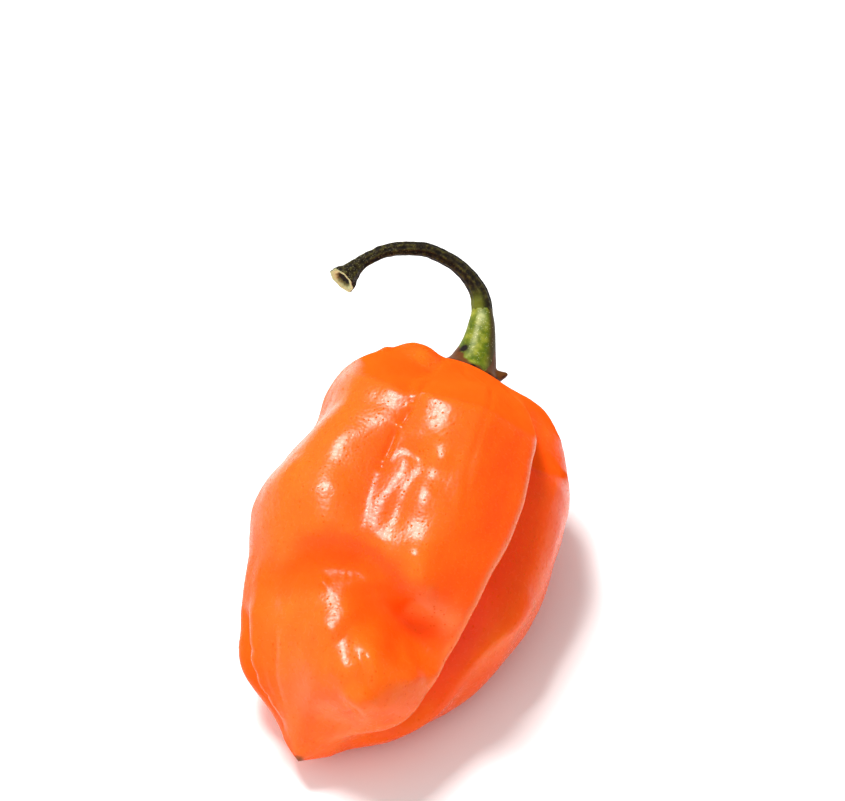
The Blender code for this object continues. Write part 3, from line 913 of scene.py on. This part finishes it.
@dataclass
class Fruit:
    """The lobed fruit with its folds, swells and blossom tip."""

    pose: LyingPose
    blank: Blank
    skin: RipeSkin
    around: int = 384
    along: int = 256
    seat_share: float = 0.075
    seat_fade_share: float = 0.14
    swell_mm: float = 7.0
    swell_depth_mm: float = 0.35
    ripple_mm: float = 3.1
    ripple_depth_mm: float = 0.11
    table_softness_mm: float = 0.3
    smoothing_passes: int = 2
    tip_share: float = 0.985
    waxed_by_turn: tuple[Pair, ...] = (
        (-140, 1), (-112, 0.1), (-76, 0.05), (-66, 0.3), (-54, 0.8), (-44, 1), (60, 1), (75, 0.7),
        (100, 0.3), (118, 0.5), (135, 1),
    )
    front_ends_deg: Pair = (95.0, 125.0)
    worn_facing_stem: Pair = (0.25, 0.5)
    worn_in_hollow: float = 0.75
    # Painted sheen along the lip's edge: its reach, strength and where it is full.
    worn_depth_mm: Pair = (0.7, 1.9)
    lip_sheen_reach_mm: Pair = (0.8, 1.0)
    lip_sheen_most: float = 0.75
    lip_sheen_full_at_mm: float = 0.9
    # Painted shade: how strongly the deeper red is laid, by the depth of the folds.
    furrow_shade_most: float = 0.85
    furrow_depth_mm: Pair = (0.35, 2.75)
    scar_share: Pair = (0.985, 0.995)
    # Painted light: how much lighter the left side is painted, and where.
    lit_side_most: float = 0.6
    lit_side_half_deg: float = 45.0
    lit_side_share: Pair = (0.1, 0.3)

    def pressed_on_table(self, points: Array) -> Array:
        """Presses skin that would reach below the table flat on it, with a soft edge."""
        above = self.pose.height_of(points)
        soft = self.table_softness_mm
        pressed = np.where(above < soft, np.maximum(above + soft, 0.0) ** 2 / (4 * soft), above)
        return points + np.outer(pressed - above, self.pose.up())

    def marks(
        self,
        bm: bmesh.types.BMesh,
        share: Array,
        turn: Array,
        height: Callable[[Fold], Array],
        folds: Array,
    ) -> dict[Mark, Array]:
        """Where the skin is waxed and scarred, and where painted sheen, painted shade and the painted
        light of the left side lie.

        Args:
            bm: the folded fruit.
            share: how far down from the seat each vertex is.
            turn: its angle round the spine in radians.
            height: gives how far a fold moves each vertex.
            folds: how far all main folds move it.

        Returns:
            One value of 0 to 1 for each vertex and mark.
        """
        bm.normal_update()
        facing_stem = np.array([v.normal.z for v in bm.verts])
        degrees = np.degrees(turn)
        waxed = np.interp(degrees, *np.array(self.waxed_by_turn).T)
        front = 1 - rising(np.abs(degrees), *self.front_ends_deg)
        hollow = -height(fold_named("crescent hollow"))
        worn = np.maximum(
            front * rising(facing_stem, *self.worn_facing_stem),
            self.worn_in_hollow * rising(hollow, *self.worn_depth_mm),
        )
        # Painted sheen: a salmon band along the lip's edge, and on the plain beside the pit.
        left, right = self.lip_sheen_reach_mm
        lip = replace(fold_named("lip of the right furrow"), left_mm=left, right_mm=right)
        edge = self.lip_sheen_most * rising(height(lip), 0, self.lip_sheen_full_at_mm)
        # Painted shade: deeper red by fold depth, along the crescent and on a band of the front lobe.
        furrow_shade = self.furrow_shade_most * rising(-folds, *self.furrow_depth_mm)
        # Painted light: the left side painted lighter.
        painted_lit_side = rising(-degrees, -self.lit_side_half_deg, self.lit_side_half_deg)
        return {
            Mark.WAX: waxed * (1 - worn),
            Mark.PAINTED_SHEEN: np.maximum(edge, height(SHEEN_PLAIN)),
            Mark.HOLLOW_SHADE: np.maximum.reduce((furrow_shade, height(CRESCENT_SHADE), height(SHADE_BAND))),
            Mark.SCAR: rising(share, *self.scar_share),
            Mark.PAINTED_LIT_SIDE: self.lit_side_most * painted_lit_side * rising(share, *self.lit_side_share),
        }

    def build(self) -> bpy.types.Object:
        """Builds the fruit and paints its marks, in place of the frame's fruit."""
        bm, row, turn = ball(self.around, self.along)
        share = row / self.along
        points = self.blank.point(share, turn)
        move_to(bm, points)
        bm.normal_update()
        normals = np.array([v.normal for v in bm.verts])

        def height(fold: Fold) -> Array:
            """How far a fold moves each vertex of the blank."""
            return fold.height(points, normals, self.blank)

        folds = sum(height(fold) for fold in MAIN_FOLDS)
        fine = sum(height(fold) for fold in FINE_FOLDS)
        swells = noise_at(points, self.swell_mm) * self.swell_depth_mm
        swells += noise_at(points, self.ripple_mm, 7.0) * self.ripple_depth_mm
        fade = rising(share, self.seat_share, self.seat_fade_share)
        move_to(bm, points + normals * ((folds + swells) * fade)[:, None])
        above_tip = [v for v, down in zip(bm.verts, share) if down < self.tip_share]
        smoothed(bm, above_tip, self.smoothing_passes)
        move_to(bm, self.pressed_on_table(places(bm) + normals * (fine * fade)[:, None]))
        marks = self.marks(bm, share, turn, height, folds)
        made = piece("fruit_skin", bm, self.pose, self.skin.build(self.pose), marks)
        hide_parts("fruit")
        return made


def frames_along(line: Array, across: Vector) -> tuple[Array, Array, Array]:
    """Directions along a curve, and two across it that turn as little as they can.

    Args:
        line: points of the curve.
        across: a first direction across it.

    Returns:
        Rows of the ways along, the sides and the fronts.
    """
    ways = np.gradient(line, axis=0)
    ways /= np.linalg.norm(ways, axis=1)[:, None]
    sides = []
    side = np.array(across, float)
    for way in ways:
        side = side - way * side.dot(way)
        side /= np.linalg.norm(side)
        sides.append(side)
    return ways, np.array(sides), np.cross(ways, sides)


@dataclass(frozen=True)
class Spot:
    """A soft oval patch of the cone: its turn, its share of the height, and its reach each way."""

    turn_deg: float
    share: float
    wide_deg: float
    tall: float

    def amount(self, degrees: Array, share: Array) -> Array:
        """1 in the middle of the patch, falling to 0 round it, for each turn and share."""
        across = (degrees - self.turn_deg) / self.wide_deg
        return np.exp(-(across**2) - ((share - self.share) / self.tall) ** 2)


@dataclass
class Calyx:
    """The green cone on the fruit's shoulder, with its dried ragged rim."""

    pose: LyingPose
    blank: Blank
    tissue: CalyxTissue
    foot_mm: Pair = (0.0, 0.1)
    sunk_mm: float = 0.15
    top_mm: tuple[float, float, float] = (-1.9, -2.4, 65.9)
    top_way: tuple[float, float, float] = (-0.42, -0.33, 0.85)
    profile: tuple[Pair, ...] = (
        (0.0, 3.6), (0.03, 3.85), (0.07, 3.8), (0.13, 3.45), (0.19, 3.15), (0.28, 2.87),
        (0.4, 2.5), (0.53, 2.2), (0.68, 1.93), (0.83, 1.68), (0.93, 1.47), (1.0, 1.37),
    )
    around: int = 160
    along: int = 120
    teeth: int = 5
    dried_up_to: tuple[Pair, ...] = (
        (-180, 0.16), (-97, 0.32), (-70, 0.36), (-47, 0.31), (-27, 0.2), (-12, 0.12), (8, 0.09),
        (28, 0.12), (43, 0.22), (58, 0.42), (80, 0.46), (120, 0.28), (180, 0.16),
    )
    dried_edge: float = 0.05
    dried_unevenness: float = 0.06
    burnt_share: float = 0.05
    burnt_unevenness: float = 0.09
    burnt_edge: float = 0.03
    burnt_spot: Spot = Spot(-42.0, 0.32, 13.0, 0.07)
    highlight_streak: Spot = Spot(-21.0, 0.55, 9.0, 0.28)
    pale_top: Spot = Spot(-6.0, 0.88, 20.0, 0.13)
    thorn: Spot = Spot(78.0, 0.11, 9.0, 0.06)
    thorn_mm: float = 1.15
    thorn_rise: float = 0.8
    line_steps: int = 200
    base_rows: int = 12
    top_rows: int = 8
    rim: Spot = Spot(0.0, 0.04, 1.0, 0.05)
    tooth_mm: float = 0.35
    ragged_mm: float = 0.25
    ragged_size_mm: float = 0.8
    flute: float = 0.02

    def middle_line(self, steps: int) -> Array:
        """The cone's middle line from the seat to the stem, as steps points."""
        lean = Vector((0, -self.blank.lean, 1)).normalized()
        way = Vector(self.top_way).normalized()
        foot = Vector((*self.foot_mm, self.blank.seat_height() - self.sunk_mm))
        top = Vector(self.top_mm)
        reach = (top - foot).length / 3
        t = np.linspace(0, 1, steps)[:, None]
        return (
            np.outer((1 - t) ** 3, foot)
            + np.outer(3 * t * (1 - t) ** 2, foot + lean * reach)
            + np.outer(3 * t * t * (1 - t), top - way * reach)
            + np.outer(t**3, top)
        )

    def build(self) -> bpy.types.Object:
        """Builds the cone, in place of the frame's calyx."""
        bm, row, turn = ball(self.around, self.along)
        line = self.middle_line(self.line_steps + 1)
        ways, sides, fronts = frames_along(line, Vector((1, 0, 0)))
        base, top = self.base_rows, self.top_rows
        share = np.clip((row - base) / (self.along - base - top), 0, 1)
        knots, radii = np.array(self.profile).T
        out = curve_through(knots, radii[:, None], share)[:, 0]
        out *= np.where(row < base, np.sin(row / base * math.pi / 2), 1)
        out *= np.where(row > self.along - top, (self.along - row) / top, 1)
        tooth = np.maximum(np.cos(turn * self.teeth + 0.6 + 0.8 * np.sin(2 * turn)), 0) ** 2
        degrees = np.degrees(turn)
        at_rim = self.rim.amount(0 * degrees, share) * (row >= base * 0.8)
        rough = noise_at(np.stack((turn * 3, share * 8, 0 * turn), axis=1), 1.0)
        thorn = self.thorn.amount(degrees, share)
        out = out + at_rim * (self.tooth_mm * tooth + self.ragged_mm * rough) + self.thorn_mm * thorn
        out = out * (1 + self.flute * np.cos(self.teeth * turn) * (1 - share))
        at = np.rint(share * self.line_steps).astype(int)
        points = (
            line[at]
            + ways[at] * (self.thorn_rise * self.thorn_mm * thorn)[:, None]
            + sides[at] * (out * np.sin(turn))[:, None]
            - fronts[at] * (out * np.cos(turn))[:, None]
        )
        move_to(bm, points)
        dried = np.interp(degrees, *np.array(self.dried_up_to).T) + self.dried_unevenness * rough
        ragged = noise_at(points, self.ragged_size_mm, 3.0)
        burnt = self.burnt_share + self.burnt_unevenness * ragged
        spot = 1.8 * self.burnt_spot.amount(degrees, share) * (ragged < 0.35)
        # Painted highlight: a pale streak down the front; the top patch adds pale colour and specks.
        pale = 0.7 * self.highlight_streak.amount(degrees, share)
        marks = {
            Mark.DRIED: np.maximum(eased((dried - share) / self.dried_edge), thorn),
            Mark.BURNT: np.maximum(eased((burnt - share) / self.burnt_edge), spot),
            Mark.SUNNY: eased((np.sin(turn + 0.12) - 0.42) / 0.4),
            Mark.HIGHLIGHT_AND_SPECKS: pale + 0.8 * self.pale_top.amount(degrees, share),
        }
        made = piece("calyx_cone", bm, self.pose, self.tissue.build(), marks)
        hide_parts("calyx")
        return made


@dataclass
class Stem:
    """The arched stalk, from the calyx to its flared, cut end."""

    pose: LyingPose
    bark: StemBark
    pith: CutPith
    route: tuple[tuple[float, float, float, float], ...] = (
        (-1.62, -2.18, 65.35, 1.33), (-1.9, -2.4, 65.9, 1.36), (-3.0, -3.1, 67.4, 1.21),
        (-4.4, -3.6, 68.4, 1.08), (-6.1, -4.1, 69.1, 0.99), (-7.8, -4.4, 69.5, 0.95),
        (-9.6, -4.7, 69.5, 0.94), (-11.5, -5.0, 69.3, 0.92), (-13.5, -5.1, 68.5, 0.9),
        (-15.3, -5.1, 67.5, 0.88), (-16.8, -5.0, 66.3, 0.86), (-17.9, -4.9, 64.9, 0.87),
        (-18.8, -4.8, 63.5, 0.93), (-19.3, -4.9, 62.0, 1.2), (-19.9, -4.9, 60.1, 1.95),
    )
    around: int = 72
    along: int = 300
    ribs: int = 8
    rib_twist: float = 2.0
    rib_sway: float = 0.7
    rib_relief: float = 0.08
    knob_relief: float = 0.03
    end_knob_relief: float = 0.07
    green_most: float = 0.8
    green_from: float = 0.16
    green_over: float = 0.12
    cut: tuple[Pair, ...] = (
        (1.0, 0.0), (0.95, -0.06), (0.82, -0.08), (0.7, 0.0), (0.58, 0.15), (0.46, 0.5), (0.34, 0.8),
        (0.2, 0.95), (0.08, 1.0), (0.0, 1.0),
    )

    def build(self) -> bpy.types.Object:
        """Builds the stalk with its cut face, in place of the frame's stem."""
        route = np.array(self.route)
        steps = np.linalg.norm(np.diff(route[:, :3], axis=0), axis=1)
        knots = np.concatenate(((0.0,), np.cumsum(steps)))
        line = curve_through(knots, route, np.linspace(0, knots[-1], self.along + 1))
        ways, sides, fronts = frames_along(line[:, :3], Vector((1, 0, 0)))
        rows = [(0, 0.0, 0.0), (0, 0.6, 0.0)] + [(i, 1.0, 0.0) for i in range(self.along)]
        rows += [(self.along, share, depth) for share, depth in self.cut]
        bm, row, turn = ball(self.around, len(rows) - 1)
        row = np.rint(row).astype(int)
        at, share, depth = np.array(rows)[row].T
        at = at.astype(int)
        progress = at / self.along
        twist = self.rib_twist * progress + self.rib_sway * np.sin(2 * turn)
        rib = 0.5 + 0.5 * np.cos(self.ribs * turn + twist)
        flesh = np.stack((np.cos(turn) * 1.2, np.sin(turn) * 1.2, at * 0.1), axis=1)
        knobs = noise_at(flesh, 1.0, 5.0)
        relief = self.rib_relief * (rib - 0.5)
        relief += (self.knob_relief + self.end_knob_relief * progress) * knobs
        out = line[at, 3] * share * (1 + relief)
        points = (
            line[at, :3]
            - ways[at] * depth[:, None]
            + sides[at] * (out * np.sin(turn))[:, None]
            - fronts[at] * (out * np.cos(turn))[:, None]
        )
        move_to(bm, points)
        on_cut = row > len(rows) - len(self.cut)
        lower = self.green_most * eased((self.green_from - progress) / self.green_over)
        marks = {
            Mark.ALONG: progress,
            Mark.RIB: rib,
            Mark.DEPTH_SHADE: np.where(on_cut, np.abs(depth), 0),
            Mark.GREEN: lower * eased(0.6 - np.sin(turn)),
        }
        made = piece("stem_stalk", bm, self.pose, self.bark.build(), marks)
        made.data.materials.append(self.pith.build())
        cut_verts = set(np.flatnonzero(on_cut))
        for polygon in made.data.polygons:
            if all(v in cut_verts for v in polygon.vertices):
                polygon.material_index = 1
        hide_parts("stem")
        return made


@dataclass
class Studio:
    """The white table, the lights and the camera of the picture."""

    pose: LyingPose
    frame_px: tuple[int, int] = (845, 801)
    azimuth_deg: float = 22.0
    elevation_deg: float = 45.0
    lens_mm: float = 100.0
    sensor_mm: float = 36.0
    px_per_mm: float = 8.0
    spine_point_mm: float = 29.2
    spine_point_px: Pair = (389.0, 556.0)
    room_light: float = 1.0
    bright_wall: tuple[float, float, float] = (-0.45, -0.68, 0.58)
    bright: str = "ffffff"
    dim: str = "a8a8a8"
    softbox_m: tuple[float, float, float] = (-0.2, 0.085, 0.6)
    softbox_side_m: float = 0.17
    softbox_watts: float = 4.2

    def camera(self) -> bpy.types.Object:
        """Adds the camera, placed so that one point of the spine falls on its pixel."""
        az, el = math.radians(self.azimuth_deg), math.radians(self.elevation_deg)
        back = Vector((math.sin(az) * math.cos(el), -math.cos(az) * math.cos(el), math.sin(el)))
        right = Vector((math.cos(az), math.sin(az), 0))
        up = back.cross(right)
        target = self.pose.matrix() @ Vector((0, 0, self.spine_point_mm))
        distance = self.lens_mm / self.sensor_mm * self.frame_px[0] / self.px_per_mm
        across = (self.spine_point_px[0] - self.frame_px[0] / 2) / self.px_per_mm
        down = (self.spine_point_px[1] - self.frame_px[1] / 2) / self.px_per_mm
        data = bpy.data.cameras.new("camera")
        data.lens, data.sensor_width = self.lens_mm, self.sensor_mm
        data.clip_start, data.clip_end = 0.01, 20.0
        made = bpy.data.objects.new("camera", data)
        place = target + (back * distance - right * across + up * down) * MM
        turned = Matrix((right, up, back)).transposed().to_4x4()
        made.matrix_world = Matrix.Translation(place) @ turned
        bpy.context.scene.collection.objects.link(made)
        bpy.context.scene.camera = made
        return made

    def area(self, name: str, place: Vector, size: Pair, watts: float) -> None:
        """Adds a rectangular area light that faces the pepper.

        Args:
            name: the light's name.
            place: where it stands, in metres.
            size: its width and height in metres.
            watts: its power.
        """
        data = bpy.data.lights.new(name, "AREA")
        data.shape = "RECTANGLE"
        data.size, data.size_y = size
        data.energy = watts
        made = bpy.data.objects.new(name, data)
        aim = Vector((0, 0, 0.015)) - place
        turned = aim.to_track_quat("-Z", "Y").to_matrix().to_4x4()
        made.matrix_world = Matrix.Translation(place) @ turned
        bpy.context.scene.collection.objects.link(made)

    def build(self) -> None:
        """Builds the table, the light and the camera."""
        scene = bpy.context.scene
        scene.view_settings.view_transform = "Standard"
        world = bpy.data.worlds.new("studio")
        world.use_nodes = True
        tree = world.node_tree
        background = tree.nodes["Background"]
        background.inputs["Strength"].default_value = self.room_light
        facing = tree.nodes.new("ShaderNodeVectorMath")
        facing.operation = "DOT_PRODUCT"
        facing.inputs[1].default_value = self.bright_wall
        tree.links.new(tree.nodes.new("ShaderNodeTexCoord").outputs["Generated"], facing.inputs[0])
        walls = tree.nodes.new("ShaderNodeValToRGB")
        walls.color_ramp.elements[0].color = linear(self.dim)
        walls.color_ramp.elements[1].color = linear(self.bright)
        walls.color_ramp.elements[1].position = 0.7
        tree.links.new(facing.outputs["Value"], walls.inputs["Fac"])
        tree.links.new(walls.outputs["Color"], background.inputs["Color"])
        scene.world = world
        bm = bmesh.new()
        bmesh.ops.create_grid(bm, x_segments=8, y_segments=8, size=3.0)
        mesh = bpy.data.meshes.new("table")
        bm.to_mesh(mesh)
        bm.free()
        mesh.materials.append(WhiteTable().build())
        table = bpy.data.objects.new("table", mesh)
        scene.collection.objects.link(table)
        side = self.softbox_side_m
        self.area("softbox", Vector(self.softbox_m), (side, side), self.softbox_watts)
        self.camera()


def main() -> None:
    """Builds the pepper's pieces in order, then the studio."""
    logging.basicConfig(level=logging.INFO, format="%(name)s %(message)s")
    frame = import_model()
    LOG.info("frame nodes: %s", sorted(frame["nodes"]))
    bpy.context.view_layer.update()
    pose, blank = LyingPose(), Blank()
    Fruit(pose, blank, RipeSkin()).build()
    Calyx(pose, blank, CalyxTissue()).build()
    Stem(pose, StemBark(), CutPith()).build()
    Studio(pose).build()


if __name__ == "__main__":
    main()
